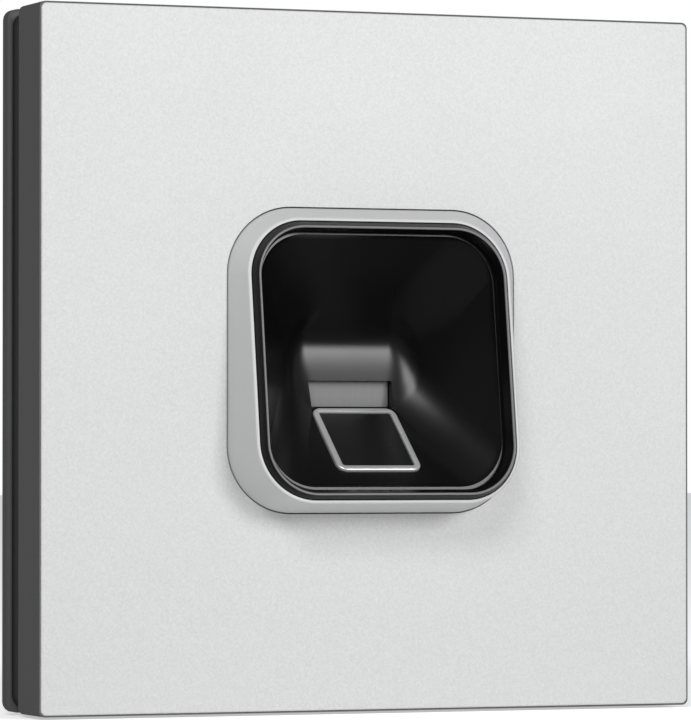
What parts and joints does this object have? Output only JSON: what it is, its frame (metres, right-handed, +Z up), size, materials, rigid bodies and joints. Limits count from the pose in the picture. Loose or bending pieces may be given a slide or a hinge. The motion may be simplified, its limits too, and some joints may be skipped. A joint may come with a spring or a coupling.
{
  "type": "fingerprint scanner terminal",
  "caption": "Square wall-mounted fingerprint reader: aluminium face, projecting collar with a black finger funnel, sloping sensor, status window and a latched wall plate.",
  "frame": {"origin": "centre of the wall plate's back face, in the plane of the wall", "axes": "+Z up, +Y into the wall, the front faces -Y, +X to the right seen from the front"},
  "size_m": [0.1064, 0.0275, 0.1064],
  "materials": {
    "aluminium_face": "fine bead-blasted and clear anodised",
    "collar_finish": "satin silver-grey",
    "carrier_plastic": "fine eroded texture, dark grey",
    "plate_plastic": "fine eroded texture, dark grey",
    "black_plastic": "satin black",
    "silver_bezel": "satin metal",
    "sensor_glass": "polished black coating",
    "light_window": "frosted translucent grey",
    "board_laminate": "green solder mask",
    "chip_epoxy": "moulded epoxy",
    "steel": "zinc plated",
    "seal_rubber": "soft moulded",
    "foam": "closed-cell foam",
    "tape": "adhesive film",
    "white_plastic": "moulded",
    "flex_film": "polyimide film",
    "terminal_green": "moulded"
  },
  "bodies": {
    "terminal": {"front_sheet": "aluminium_face", "sheet_adhesive": "tape", "carrier_frame": "carrier_plastic", "collar": "collar_finish", "collar_seal": "seal_rubber", "finger_funnel": "black_plastic", "sensor_frame": "silver_bezel", "sensor_pad": "sensor_glass", "sensor_gasket": "seal_rubber", "sensor_module": "chip_epoxy", "sensor_bracket": "steel", "bracket_screw_left": "steel", "bracket_screw_right": "steel", "sensor_flex": "flex_film", "status_window": "light_window", "led_board": "board_laminate", "status_led_left": "white_plastic", "status_led_right": "white_plastic", "main_board": "board_laminate", "processor": "chip_epoxy", "memory_chip": "chip_epoxy", "bus_transceiver": "chip_epoxy", "power_inductor": "chip_epoxy", "buzzer": "chip_epoxy", "flex_connector": "white_plastic", "supply_capacitor_left": "steel", "supply_capacitor_right": "steel", "terminal_block": "terminal_green", "rear_cover": "black_plastic", "housing_seal": "seal_rubber", "tamper_switch": "chip_epoxy", "tamper_spring": "steel", "latch_spring": "steel", "latch_keeper": "steel", "wall_plate": "plate_plastic", "wall_gasket": "foam", "funnel_screw_top_left": "steel", "board_screw_top_left": "steel", "housing_screw_top_left": "steel", "funnel_screw_top_right": "steel", "board_screw_top_right": "steel", "housing_screw_top_right": "steel", "funnel_screw_bottom_left": "steel", "board_screw_bottom_left": "steel", "housing_screw_bottom_left": "steel", "funnel_screw_bottom_right": "steel", "board_screw_bottom_right": "steel", "housing_screw_bottom_right": "steel"},
    "tamper_plunger": {"tamper_plunger": "white_plastic"},
    "release_latch": {"release_latch": "plate_plastic"}
  },
  "joints": [
    {"name": "tamper_plunger_travel", "type": "slide", "parent": "terminal", "child": "tamper_plunger", "axis": [0, 1, 0], "range_m": [0, 0.0015], "stiffness_N_per_m": 60, "springref_m": 0.0015, "deforming": ["tamper_spring"]},
    {"name": "release_latch_travel", "type": "slide", "parent": "terminal", "child": "release_latch", "axis": [0, 0, 1], "range_m": [-0.0025, 0], "stiffness_N_per_m": 150, "deforming": ["latch_spring"]}
  ]
}
